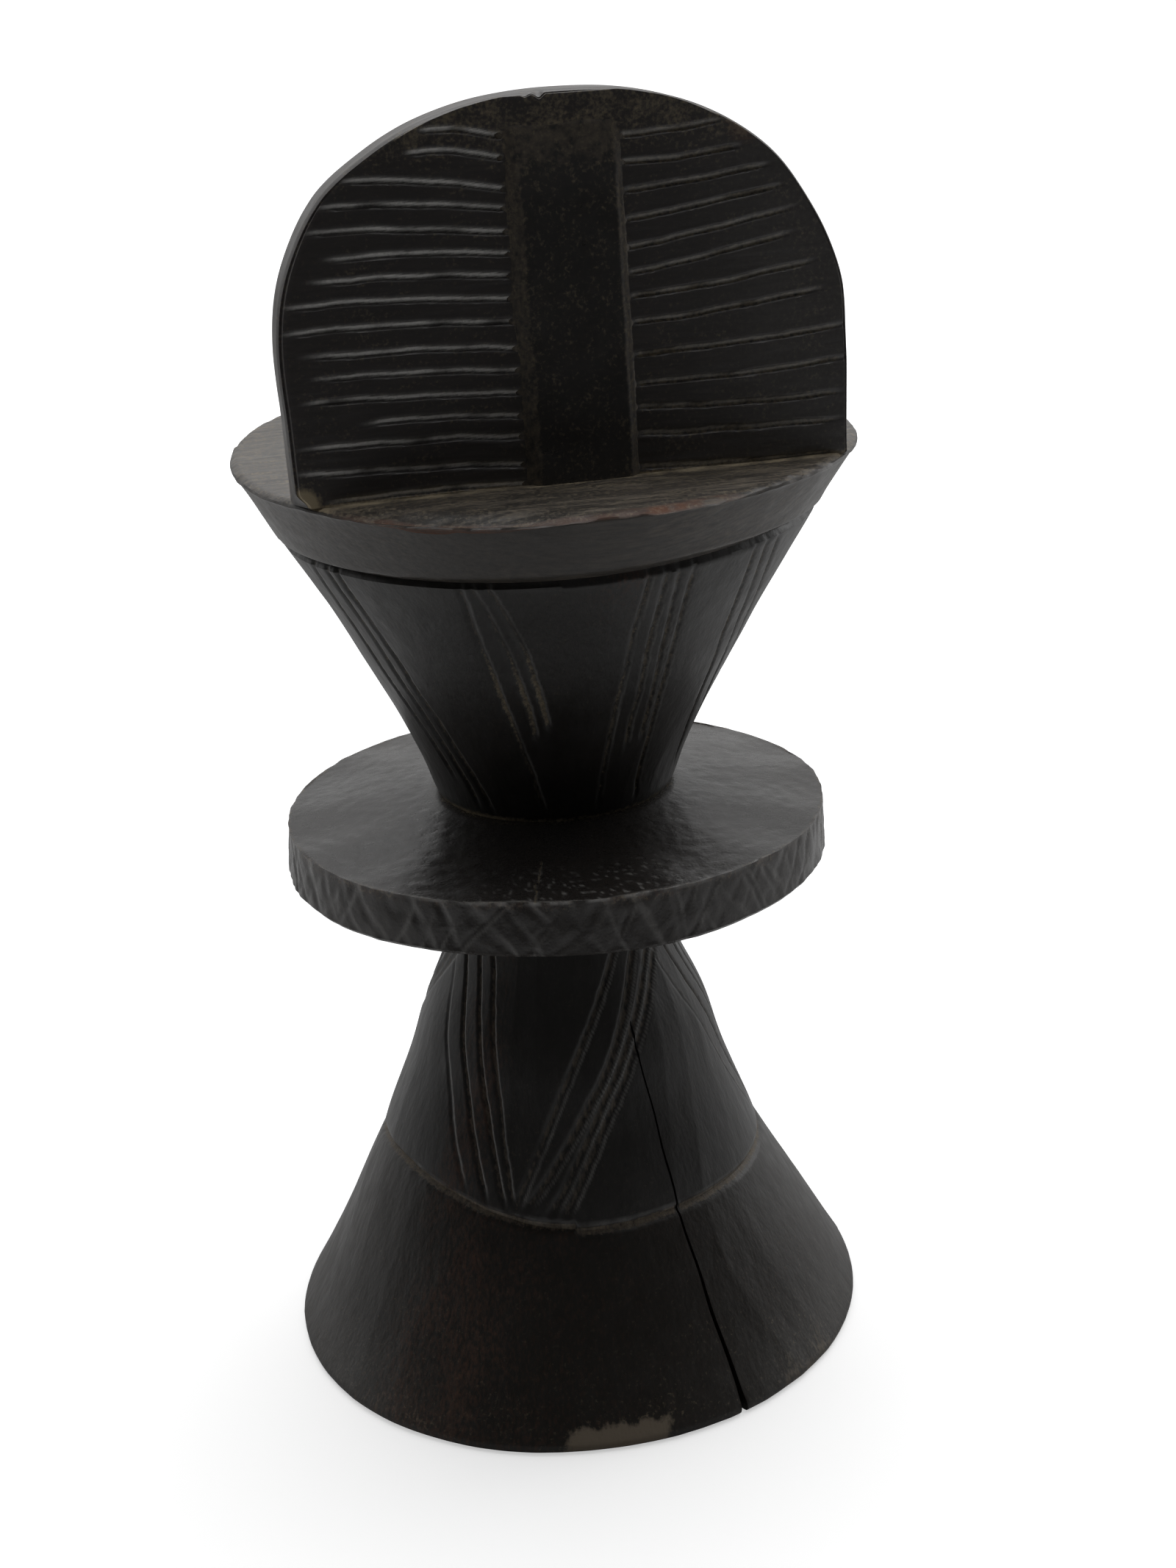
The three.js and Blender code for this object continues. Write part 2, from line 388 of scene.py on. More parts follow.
def stained_hardwood(name, stain, lift, grain, gloss, tooling=0.10):
    """Hardwood darkened with stain, soot and handling. The eye sees near-black wood with a
    soft broken sheen, faint lighter streaks along the grain, and pale dust left in the cuts.
    grain is the Mapping scale that stretches the streaks along the wood's fibres, and tooling
    is the height in mm of the dents that break up the sheen."""
    material = bpy.data.materials.new(name)
    material.use_nodes = True
    tree = material.node_tree

    place = add_node(tree, "ShaderNodeTexCoord").outputs["Object"]
    along = add_node(tree, "ShaderNodeMapping", {"Vector": place, "Scale": grain}).outputs[0]
    # Fibres 0.5 mm apart, tool dents 1.6 mm across, specks of 0.55 mm and stain in 20 mm clouds.
    textures = []
    for vector, size, detail, roughness in (
        (along, 0.5, 4.0, 0.6), (along, 1.6, 2.0, 0.6), (place, 0.55, 3.0, 0.7),
        (place, 20.0, 5.0, 0.6),
    ):
        texture = add_node(tree, "ShaderNodeTexNoise",
                           {"Vector": vector, "Scale": 1 / (size * MM), "Detail": detail,
                            "Roughness": roughness})
        textures.append(texture.outputs["Fac"])
    fibres, dents, specks, clouds = textures

    fibrous = add_node(tree, "ShaderNodeMapRange",
                       {"Value": fibres, "From Min": 0.38, "From Max": 0.78}).outputs["Result"]
    cloudy = add_node(tree, "ShaderNodeMapRange",
                      {"Value": clouds, "From Min": 0.35, "From Max": 0.75}).outputs["Result"]
    lighter = add_node(tree, "ShaderNodeMath", {0: fibrous, 1: cloudy},
                       operation="MULTIPLY").outputs[0]
    colour = add_node(tree, "ShaderNodeMix", {0: lighter, 6: srgb(stain), 7: srgb(lift)},
                      data_type="RGBA").outputs[2]
    # Dust sits in the open pores as sparse pale dots.
    open_pores = add_node(tree, "ShaderNodeMapRange",
                          {"Value": specks, "From Min": 0.60, "From Max": 0.74}).outputs["Result"]
    dusty_places = add_node(tree, "ShaderNodeMapRange",
                            {"Value": clouds, "From Min": 0.4, "From Max": 0.65,
                             "To Min": 0.1, "To Max": 0.55}).outputs["Result"]
    pores = add_node(tree, "ShaderNodeMath", {0: open_pores, 1: dusty_places},
                     operation="MULTIPLY").outputs[0]
    colour = add_node(tree, "ShaderNodeMix", {0: pores, 6: colour, 7: srgb("#5a5042")},
                      data_type="RGBA").outputs[2]

    # Marks painted while carving, broken up by specks and fibres so that none has a drawn edge.
    painted = add_node(tree, "ShaderNodeAttribute", attribute_name="marks")
    channels = add_node(tree, "ShaderNodeSeparateColor", {"Color": painted.outputs["Color"]})
    matt = 0.0
    for channel, tint, texture, strength, begins, full in (
        ("Green", "#6c4128", fibres, 0.9, 0.08, 1.0),
        ("Red", "#ab9c80", specks, 1.6, 0.20, 1.15),
        ("Blue", "#766b5c", fibres, 1.1, 0.30, 0.85),
    ):
        mark = channels.outputs[channel]
        broken = add_node(tree, "ShaderNodeMath", {0: texture, 1: strength, 2: -0.5 * strength},
                          operation="MULTIPLY_ADD").outputs[0]
        uneven = add_node(tree, "ShaderNodeMath", {0: mark, 1: broken}, operation="ADD").outputs[0]
        patches = add_node(tree, "ShaderNodeMapRange",
                           {"Value": uneven, "From Min": begins,
                            "From Max": full}).outputs["Result"]
        inside = add_node(tree, "ShaderNodeMapRange",
                          {"Value": mark, "From Min": 0.0, "From Max": 0.15}).outputs["Result"]
        mask = add_node(tree, "ShaderNodeMath", {0: patches, 1: inside},
                        operation="MULTIPLY").outputs[0]
        colour = add_node(tree, "ShaderNodeMix", {0: mask, 6: colour, 7: srgb(tint)},
                          data_type="RGBA").outputs[2]
        matt = add_node(tree, "ShaderNodeMath", {0: matt, 1: mask}, operation="MAXIMUM").outputs[0]
    # Painted highlights: the lips beside the cuts and some edges are painted near-white in short
    # broken lengths, standing in for the light they catch.
    highlight_breakup = add_node(tree, "ShaderNodeMapRange",
                      {"Value": specks, "From Min": 0.3, "From Max": 0.55,
                       "To Min": 0.62, "To Max": 1.0}).outputs["Result"]
    painted_highlight = add_node(tree, "ShaderNodeMath", {0: painted.outputs["Alpha"], 1: highlight_breakup},
                   operation="MULTIPLY").outputs[0]
    colour = add_node(tree, "ShaderNodeMix", {0: painted_highlight, 6: colour, 7: srgb("#eeece8")},
                      data_type="RGBA").outputs[2]

    # Handling has polished the wood unevenly, and dust and bare wood are matt.
    unevenness = add_node(tree, "ShaderNodeMath", {0: clouds, 1: dents}, operation="ADD").outputs[0]
    sheen = add_node(tree, "ShaderNodeMapRange",
                     {"Value": unevenness, "From Min": 0.7, "From Max": 1.3,
                      "To Min": gloss - 0.06, "To Max": gloss + 0.10}).outputs["Result"]
    rough = add_node(tree, "ShaderNodeMix", {0: matt, 2: sheen, 3: DUSTY_ROUGHNESS},
                     data_type="FLOAT").outputs[0]
    surface = add_node(tree, "ShaderNodeMath", {0: specks, 1: 0.6, 2: fibres},
                       operation="MULTIPLY_ADD").outputs[0]
    fine = add_node(tree, "ShaderNodeBump",
                    {"Height": surface, "Strength": 0.6, "Distance": 0.06 * MM}).outputs[0]
    bump = add_node(tree, "ShaderNodeBump",
                    {"Height": dents, "Strength": 1.0, "Distance": tooling * MM,
                     "Normal": fine}).outputs[0]
    shader = tree.nodes["Principled BSDF"]
    tree.links.new(colour, shader.inputs["Base Color"])
    tree.links.new(rough, shader.inputs["Roughness"])
    tree.links.new(bump, shader.inputs["Normal"])
    shader.inputs["IOR"].default_value = 1.5
    shader.inputs["Coat Weight"].default_value = 0.12
    shader.inputs["Coat Roughness"].default_value = 0.3
    return material


def dress(piece, material, node):
    """Gives a finished piece its material and its place in the frame."""
    piece.data.materials.clear()
    piece.data.materials.append(material)
    shade_curves(piece)
    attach(piece, "root")
    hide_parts(node)


def ring_level(bearing):
    """Height of the V-cut ring, which was cut by eye and climbs towards the left."""
    return ring_height - 1.4 + 5.0 * swell(bearing, 193, 67) - 0.4 * swell(bearing, 340, 40)


def ring_cut(bearing, height):
    """Depth of the ring's V cut. Its two ends miss each other by a little where it closes."""
    miss = 0.3 * math.copysign(swell(bearing, 258.5, 40), turn_between(bearing, 258.5))
    line = ring_level(bearing) - miss + 0.12 * jitter(bearing / 4.0, 0, 0)
    return knife_cut(height - line, RING_HALF, RING_DEPTH)


def ring_highlight(bearing, height):
    """Painted highlight, in patches, on the thin lip along the top of the ring."""
    above = height - ring_level(bearing)
    patchy = smooth(ripple(bearing / 3.0, 6, 0, 1.6), 0.25, 0.6)
    return 0.2 * smooth(0.3 - abs(above - 0.62), 0.0, 0.2) * patchy


def rim_outline(bearing):
    """How far the rim stands in from the full radius: it is full at the front left only."""
    return 0.9 - 1.0 * swell(bearing, 214, 62) + 0.2 * swell(bearing, 280, 40)


def skirt_cut(bearing, radius, height):
    """The skirt's underside, its top under the ring, or its planed and worn side."""
    x, y = on_circle(bearing, radius)
    if height < 0.01 and radius < foot_radius - RIM_CORNER - 0.1:
        hollow = 0.5 * smooth(foot_radius - radius, 2.0, 12.0)
        rough = 0.25 * ripple(x, y, 0, 7.0) * smooth(hollow, 0, 0.3)
        radius -= rim_outline(bearing) * smooth(radius, 20.0, foot_radius)
        return radius, hollow + rough, (0.3, 0, 0.25)
    if height > ring_height - 0.01 and radius < ring_radius - 2.0:
        return radius, ring_level(bearing), (0, 0, 0)
    # Its top edge follows the ring, which wasn't cut level.
    lower = 1 - smooth(height, 0.0, ring_height)
    at_ring = smooth(height, 8.0, ring_height)
    placed = height + (ring_level(bearing) - ring_height) * at_ring
    cut = ring_cut(bearing, placed)
    flats = hand_finish(bearing, radius, height, 22, 0.16)
    wear = 0.5 * smooth(1.3 - height, 0.0, 1.3) * ripple(x, y, 0, 8.0)
    # The bare patch at the front of the rim has torn ends, and the rim is paler to its sides: a
    # painted sheen, laid as a matt tint and as a faint haze.
    torn = 0.9 * jitter(bearing / 2.4, 0, 0) + 0.35 * jitter(bearing / 0.6, 4, 0)
    bare_and_sheen = smooth(12.0 - abs(turn_between(bearing, 263.6 + 0.5 * height)), 0.0, 4.0)
    bare_and_sheen *= smooth(4.3 + 0.8 * torn - height, 0.0, 1.7)
    front_patch = bare_and_sheen
    bare_and_sheen = max(bare_and_sheen, 0.85 * smooth(9.0 - height, 0.0, 9.0) * ripple(x, y, height, 4.0)
               * max(swell(bearing, 308, 34), 0.8 * swell(bearing, 212, 40)))
    reddish = 0.22 * swell(bearing, 226, 28) + 0.12 * swell(bearing, 256, 34)
    reddish *= 0.3 + 0.9 * ripple(x, y, height / 3, 5.0)
    dust = 0.4 * smooth(cut, 0.1, 0.5) * ripple(x, y, height, 6.0)
    bare_and_sheen = max(bare_and_sheen, 0.62 * smooth(cut, 0.05, 0.4))
    dust = max(dust, 0.15 * lower * ripple(x, y, height, 7.0), 0.3 * wear,
               0.42 * front_patch)
    radius -= rim_outline(bearing) * lower + flats + cut
    # Painted sheen: a faint near-white haze low on the rim's sides.
    painted_sheen = 0.05 * smooth(13.0 - height, 0.0, 11.0) * max(swell(bearing, 312, 40),
                                                         swell(bearing, 200, 40))
    painted_highlight = max(ring_highlight(bearing, placed), painted_sheen)
    return radius, placed, (dust, max(0.4 * wear, reddish), bare_and_sheen, painted_highlight)


underside = [(0.0, 0.0)] + [(radius, 0.0) for radius in range(2, 43, 2)]
rim_round = [(foot_radius - RIM_CORNER, 0.0), (foot_radius - 0.5, 0.15), (foot_radius - 0.1, 0.6),
             (foot_radius, 1.2)]
skirt_side = side_rows((foot_radius - 0.15, 1.6), (ring_radius, ring_height), 0.3, 0.35)
foot_skirt = turned("carved_foot_skirt",
                    underside + rim_round + skirt_side + [(0.0, ring_height)])
carve(foot_skirt, skirt_cut)
split_open(foot_skirt)
# Planed and handled but never polished: dark brown, matt and a little leathery.
skirt_wood = stained_hardwood("stained_hardwood_skirt", "#1b1712", "#2f2620", (1, 1, 0.16), 0.4,
                              0.14)
dress(foot_skirt, skirt_wood, "foot_skirt")


# Foot cone: the slender upper part of the foot. Bands of parallel knife lines run down and
# back up it in a zigzag, three times round, between the waist disc and the V-cut ring.
foot_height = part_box("foot_cone")[1].z / MM
foot_top_radius = 13.8
SECTOR = 12.0
LINE_REACH = 16.0

# One zigzag, as (bearing at the top, bearing at the ring, bow sideways, half width, depth):
# three crisp lines and a faint one go down, and four broad soft gouges come back up.
ZIGZAG = ((174, 224, 2, 0.40, 0.18), (188, 231, 2, 0.45, 0.45), (202, 237, 1, 0.45, 0.5),
          (213, 240, 1, 0.45, 0.5), (307, 240, -10, 0.75, 0.4), (314, 242, 0, 0.85, 0.5),
          (334, 250, -9, 0.80, 0.45), (343, 254, -11, 0.85, 0.4))


def by_sector(lines):
    """Lines listed under every twelve-degree sector of bearing that they pass near."""
    sectors = {}
    for number, line in enumerate(lines):
        low_end, high_end = sorted(line[:2])
        first = math.floor((low_end - LINE_REACH) / SECTOR)
        last = math.floor((high_end + LINE_REACH) / SECTOR)
        for sector in range(first, last + 1):
            sectors.setdefault(sector % round(360 / SECTOR), []).append((number, line))
    return sectors


def scored(sectors, bearing, radius, height):
    """Deepest cut at a point, how dusty it is, and the painted highlight on the lip beside it."""
    deepest = dust = painted_highlight = 0.0
    for number, line in sectors.get(int(bearing // SECTOR), ()):
        b_top, b_bottom, bow, half, depth, top, bottom, dusty = line
        if not bottom - 0.8 < height < top + 0.8:
            continue
        share = (top - height) / (top - bottom)
        line_bearing = b_top + (b_bottom - b_top) * share + bow * math.sin(math.pi * share)
        away = math.radians(turn_between(bearing, line_bearing)) * radius
        if abs(away) > 4.0:
            continue
        away /= math.hypot(1.0, math.radians(b_bottom - b_top) * radius / (top - bottom))
        away += 0.2 * jitter(height / 6.0, number * 7.7, b_top)
        away += 0.11 * jitter(height / 1.3, number * 3.7, b_top)
        fade = smooth(share, -0.03, 0.05) * smooth(1 - share, -0.03, 0.07)
        weight = (0.55 + 0.75 * ripple(height, number * 3.3, b_top, 8.0)) * fade
        cut = knife_cut(away, half, depth * weight)
        if cut > deepest:
            deepest, dust = cut, dusty
        beside = smooth(0.24 - abs(away - half * 0.95), 0.0, 0.18)
        painted_highlight = max(painted_highlight, 0.24 * beside * smooth(weight, 0.4, 1.1))
    return deepest, dust, painted_highlight


foot_sectors = by_sector([
    (b_top + turn, b_ring + turn, bow, half, depth, foot_height - 1.0,
     ring_level(b_ring) + (1.6 if half < 0.7 else 1.0),
     0.52 if half < 0.7 else 0.44)
    for turn in (0, 120, 240) for b_top, b_ring, bow, half, depth in ZIGZAG
])


def foot_cone_cut(bearing, radius, height):
    """The cone's two ends, or its side with the ring's upper half and the knife lines."""
    if height < ring_height + 0.01 and radius < ring_radius - 2.0:
        return radius, ring_level(bearing), (0, 0, 0)
    if height > foot_height - 0.01 and radius < foot_top_radius - 1.0:
        return radius, height, (0, 0, 0)
    x, y = on_circle(bearing, radius)
    fade = smooth(foot_height - height, 0.0, 6.0)
    flats = hand_finish(bearing, radius, height, 22, 0.16) * fade
    # The cone is hollowed from its middle up, most of all on its right.
    flats += (0.45 + 0.5 * swell(bearing, 0, 90)) * smooth(height, 48.0, 62.0)
    flats += 0.6 * swell(height, 61.0, 15.0) + 0.55 * swell(height, 43.5, 12.0)
    at_ring = 1 - smooth(height, ring_height, foot_height - 12.0)
    placed = height + (ring_level(bearing) - ring_height) * at_ring
    ring = ring_cut(bearing, placed)
    cut, dusty, painted_highlight = scored(foot_sectors, bearing, radius, placed)
    dust = 0.4 * smooth(ring, 0.1, 0.5) * ripple(x, y, 0, 6.0)
    pale = max(dusty * smooth(cut, 0.05, 0.35), 0.62 * smooth(ring, 0.05, 0.4))
    reddish = 0.27 * swell(bearing, 222, 22) * ripple(x, y, height / 3, 5.0)
    painted_highlight = max(painted_highlight, ring_highlight(bearing, placed))
    return radius - flats - ring - cut, placed, (dust, reddish, pale, painted_highlight)


foot_side = side_rows((ring_radius, ring_height), (foot_top_radius, foot_height), 0.1, 0.42)
foot_cone = turned("carved_foot_cone", [(0.0, ring_height)] + foot_side + [(0.0, foot_height)])
carve(foot_cone, foot_cone_cut)
split_open(foot_cone)
# Sooty and dry: near black, with a dim sheen that shows the knife's flats.
cone_wood = stained_hardwood("stained_hardwood_cones", "#1f1d1b", "#302b27", (1, 1, 0.16), 0.38)
dress(foot_cone, cone_wood, "foot_cone")


# Waist disc: a flat ring of wood left standing between the two cones. Its crown is polished by
# handling, with painted glints at its front, its upper edge is worn pale and carries a painted
# highlight at the front, and its side is cut all round with a loose lattice with painted
# highlights beside the cuts.
DISC_EDGE = 7.7
CROWN_RISE = 2.8
CROWN_ROWS = 48
disc_low, disc_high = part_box("waist_disc")
disc_radius = (disc_high.x - disc_low.x) / 2 / MM
disc_bottom = disc_low.z / MM
disc_top = disc_bottom + DISC_EDGE
neck_height = disc_high.z / MM
neck_radius = 17.1
LATTICE_SPACING = 6.4
LATTICE_SLANT = 0.95


def lattice(bearing, height):
    """Shallow crossing cuts on the disc's side, both ways on the slant, spaced by eye, and the
    painted highlight beside each cut, faint all over the side.
    """
    deepest = painted_highlight = 0.0
    for way in (-1.0, 1.0):
        drift = 4.5 * jitter(bearing / 11.0, way * 5.0, height / 9.0)
        slant = way * (height - disc_bottom) * LATTICE_SLANT
        turns = (bearing + slant + drift) / LATTICE_SPACING
        away = math.radians((turns % 1.0 - 0.5) * LATTICE_SPACING) * disc_radius * 0.73
        strength = 1.6 * ripple(math.floor(turns) * 3.0, way * 9.0, height / 2, 4.0) - 0.25
        deepest = max(deepest, knife_cut(away, 0.8, 0.24 * strength))
        beside = smooth(0.42 - abs(away - 0.7), 0.0, 0.34) * smooth(strength, 0.2, 0.8)
        painted_highlight = max(painted_highlight, 0.015 + 0.12 * beside)
    return deepest, painted_highlight


def disc_cut(bearing, radius, height):
    """The disc's latticed side, its underside, or its crown with the worn front edge."""
    x, y = on_circle(bearing, radius)
    # The disc was cut by eye: its outline is uneven, and its front stands higher than its back.
    outline = 0.3 * ripple(x, y, 0, 16.0) + 0.25 * ripple(bearing / 3.2, 0, 0, 1.0)
    raised = 0.8 * swell(bearing, 262, 80) - 0.9 * swell(bearing, 50, 75)
    if radius > disc_radius - 1.3 and height < disc_top - 0.3:
        up = (height - disc_bottom) / (disc_top - disc_bottom)
        cut, painted_highlight = lattice(bearing, height)
        cut *= smooth(up, 0.0, 0.12) * smooth(1 - up, 0.02, 0.12)
        cut += 0.22 * ripple(x, y, height * 1.5, 3.5)
        wear = 0.5 * ripple(x, y, height, 3.0) * smooth(height, disc_top - 2.4, disc_top - 0.5)
        dust = 0.6 * wear
        lower_rise = 0.45 * swell(bearing, 242, 40) * (1 - up)
        # Painted highlight, broken, along the top of the side at the front.
        rim = smooth(height, disc_top - 0.9, disc_top - 0.4) * swell(bearing, 258, 58)
        painted_highlight = max(painted_highlight, 0.42 * rim * smooth(ripple(x, y, 1.0, 1.4), 0.35, 0.6))
        marks = (dust, 0.5 * wear, 0.0, painted_highlight)
        return radius - outline - cut, height + raised * up + lower_rise, marks
    edge = smooth(radius, neck_radius + 2.0, disc_radius - 2.0)
    away_from_neck = smooth(radius, neck_radius, neck_radius + 3.0)
    if height < disc_bottom + 0.01:
        lift = 0.3 * ripple(x, y, 2.0, 7.0) + 0.45 * swell(bearing, 242, 40)
        radius -= outline * smooth(radius, 30.0, disc_radius)
        return radius, height + lift * edge, (0.1, 0, 0)
    # Thirteen broad facets fan out from the neck, with knife dents all over them.
    fan = (bearing / 360.0 * 13 + 0.25 * jitter(bearing / 40, 0, 0)) % 1.0 - 0.5
    facet = 0.15 * (1 + math.cos(2 * math.pi * fan)) * edge
    hollows = jitter(bearing / 5.5, radius / 1.7, 0)
    hollows += 0.5 * jitter(bearing / 2.6, radius / 0.9, 9)
    dents = (0.09 + 0.07 * hollows + 0.2 * ripple(x, y, 2.0, 9.0)) * away_from_neck
    # The edge is rubbed pale, dust lies round the neck, and one short split runs in from the edge.
    from_edge = disc_radius - radius
    wear = smooth(1.0 - from_edge, 0.0, 0.7) * (0.35 + 0.8 * ripple(x, y, 0, 2.0))
    neck_dust = 0.9 * smooth(neck_radius + 1.6 - radius, 0.0, 1.6)
    neck_dust *= smooth(ripple(x, y, 7.0, 4.0), 0.3, 0.65) * (0.3 + swell(bearing, 217, 40))
    split_away = math.radians(turn_between(bearing, 253.4)) * radius
    split_away += 0.5 * jitter(radius / 3.0, 0, 0)
    split = knife_cut(split_away, 0.22, 0.25) * smooth(radius, 25.0, 28.0)
    # Painted glints: near-white flecks over the crown's front, and along its rubbed edge there.
    painted_glints = smooth(ripple(bearing / 1.6, radius, 5.0, 0.7), 0.62, 0.8)
    painted_glints *= 0.3 * swell(bearing, 268, 40) * smooth(radius, 27.0, 33.0)
    painted_glints = max(painted_glints, 0.75 * wear * swell(bearing, 255, 60))
    dust = max(neck_dust, 0.6 * smooth(split, 0.04, 0.2), 0.75 * wear)
    radius -= outline * smooth(radius, 30.0, disc_radius)
    height += raised * edge * edge - facet - dents - split
    return radius, height, (dust, 0.35 * wear, 0.0, painted_glints)


disc_under = [(0.0, disc_bottom)] + [(r, disc_bottom) for r in range(14, 39, 2)]
disc_side = side_rows((disc_radius, disc_bottom + 0.5), (disc_radius - 0.4, disc_top - 0.35),
                      0, 0.25)
disc_crown = [(disc_radius - 0.7 - 0.45 * i, disc_top + CROWN_RISE * (i / (CROWN_ROWS - 1)) ** 1.4)
              for i in range(CROWN_ROWS)]
waist_disc = turned("carved_waist_disc",
                    disc_under + [(disc_radius - 0.4, disc_bottom + 0.05)] + disc_side
                    + disc_crown + [(neck_radius - 0.4, neck_height), (0.0, neck_height)])
carve(waist_disc, disc_cut)
# Rubbed by hands for years: a black polish that mirrors the cone above it.
disc_wood = stained_hardwood("polished_hardwood_disc", "#33302e", "#423b36", (1, 1, 1), 0.26, 0.06)
dress(waist_disc, disc_wood, "waist_disc")


# Upper cone: the inverted cone on the disc, with groups of three or four knife lines running
# up it. Dust has stayed in the group left of the middle.
collar_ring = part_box("upper_cone")[1].z / MM
collar_foot_radius = 37.5
COLLAR_CUT = 1.0
COLLAR_HALF = 0.95
UPPER_DEPTH = 0.42
UPPER_HALF = 0.55
# Strength of the painted highlights beside the upper cone's knife lines.
UPPER_HIGHLIGHT = 0.6

# Groups round the front, as (bearing at the top, bearing at the foot, bow, foot height, dust).
FRONT_LINES = ((201.5, 212, -6, 92, 0.2), (206.5, 221, -5, 88, 0.2), (210, 228, -5, 87, 0.2),
               (240, 253, -3, 87, 0.52), (242, 252, 1, 100, 0.55), (245.5, 256, 1, 102, 0.52),
               (278, 277.5, 0, 88, 0.2), (281.6, 285, 0, 97, 0.2), (284.6, 291, 0, 98, 0.2),
               (287.8, 296.5, 0, 88, 0.2), (304.7, 325, -2, 90, 0.2), (308.5, 333, -2, 94, 0.2),
               (312.6, 337, -2, 100, 0.2))

# The groups come again round the back, and the first of them once more between the two runs.
upper_sectors = by_sector([
    (b_top + turn, b_foot + turn, bow, UPPER_HALF, UPPER_DEPTH, collar_ring - 0.3, foot, dust)
    for turn, group in ((0, FRONT_LINES), (146, FRONT_LINES), (-54, FRONT_LINES[:3]))
    for b_top, b_foot, bow, foot, dust in group
])


def collar_level(bearing):
    """Height of the ring under the collar, cut by eye like the one on the foot."""
    tilt = -0.65 * math.cos(math.radians(bearing - 225.0))
    return collar_ring + tilt + 0.6 * swell(bearing, 305, 45)


def collar_cut(bearing, height):
    line = collar_level(bearing) + 0.1 * jitter(bearing / 5.0, 3, 0)
    half = COLLAR_HALF * (0.6 + 0.45 * swell(bearing, 282, 75))
    return knife_cut(height - line, half, COLLAR_CUT)


def upper_cone_cut(bearing, radius, height):
    """The cone's two ends, or its side with the collar ring's lower half and the lines."""
    if height < neck_height + 0.01 and radius < neck_radius - 1.0:
        return radius, height, (0, 0, 0)
    if height > collar_ring - 0.01 and radius < collar_foot_radius - 2.0:
        return radius, collar_level(bearing), (0, 0, 0)
    fade = smooth(height, neck_height, neck_height + 6.0)
    hand = hand_finish(bearing, radius, height, 20, 0.14) * fade
    hand += 0.15 * smooth(1.2 - (height - neck_height), 0.0, 1.2)
    hand += 0.3 * smooth(swell(height, 97, 14), 0.0, 1.0) - 0.25 * swell(height, 125, 14)
    at_ring = smooth(height, collar_ring - 12.0, collar_ring)
    placed = height + (collar_level(bearing) - collar_ring) * at_ring
    cut, dusty, painted_highlight = scored(upper_sectors, bearing, radius, placed)
    low_dust = swell(height, 107.0, 14.0) if dusty > 0.5 else 1.0
    dust = max(dusty * low_dust * smooth(cut, 0.08, 0.32),
               (0.45 + 0.5 * swell(bearing, 217, 40))
               * smooth(1.0 - height + neck_height, 0.0, 0.9))
    pale = 0.42 * smooth(cut, 0.05, 0.35)
    x, y = on_circle(bearing, radius)
    reddish = 0.25 * swell(bearing, 272, 16) * ripple(x, y, height, 8.0) * at_ring
    ring = collar_cut(bearing, placed)
    return radius - hand - ring - cut, placed, (dust, reddish, pale, UPPER_HIGHLIGHT * painted_highlight)


upper_side = side_rows((neck_radius, neck_height), (collar_foot_radius, collar_ring), 0.9, 0.4)
upper_cone = turned("carved_upper_cone",
                    [(0.0, neck_height)] + upper_side + [(0.0, collar_ring)])
carve(upper_cone, upper_cone_cut)
dress(upper_cone, cone_wood, "upper_cone")


# Platform: the smooth collar that flares on above the second ring, and the flat round top. Its
# front edge is chipped and rubbed through to red-brown wood, and dust lies along the plate.
rim_low, rim_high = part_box("platform")
platform_radius = (rim_high.x - rim_low.x) / 2 / MM
platform_height = rim_high.z / MM
plate_low, plate_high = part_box("upright_plate")
plate_face = plate_low.y / MM


def platform_tilt(x, y):
    """How far the platform rises towards its back left corner."""
    return 0.035 * max(y + 15.0, 0.0) * smooth(-x, 0.0, 25.0)


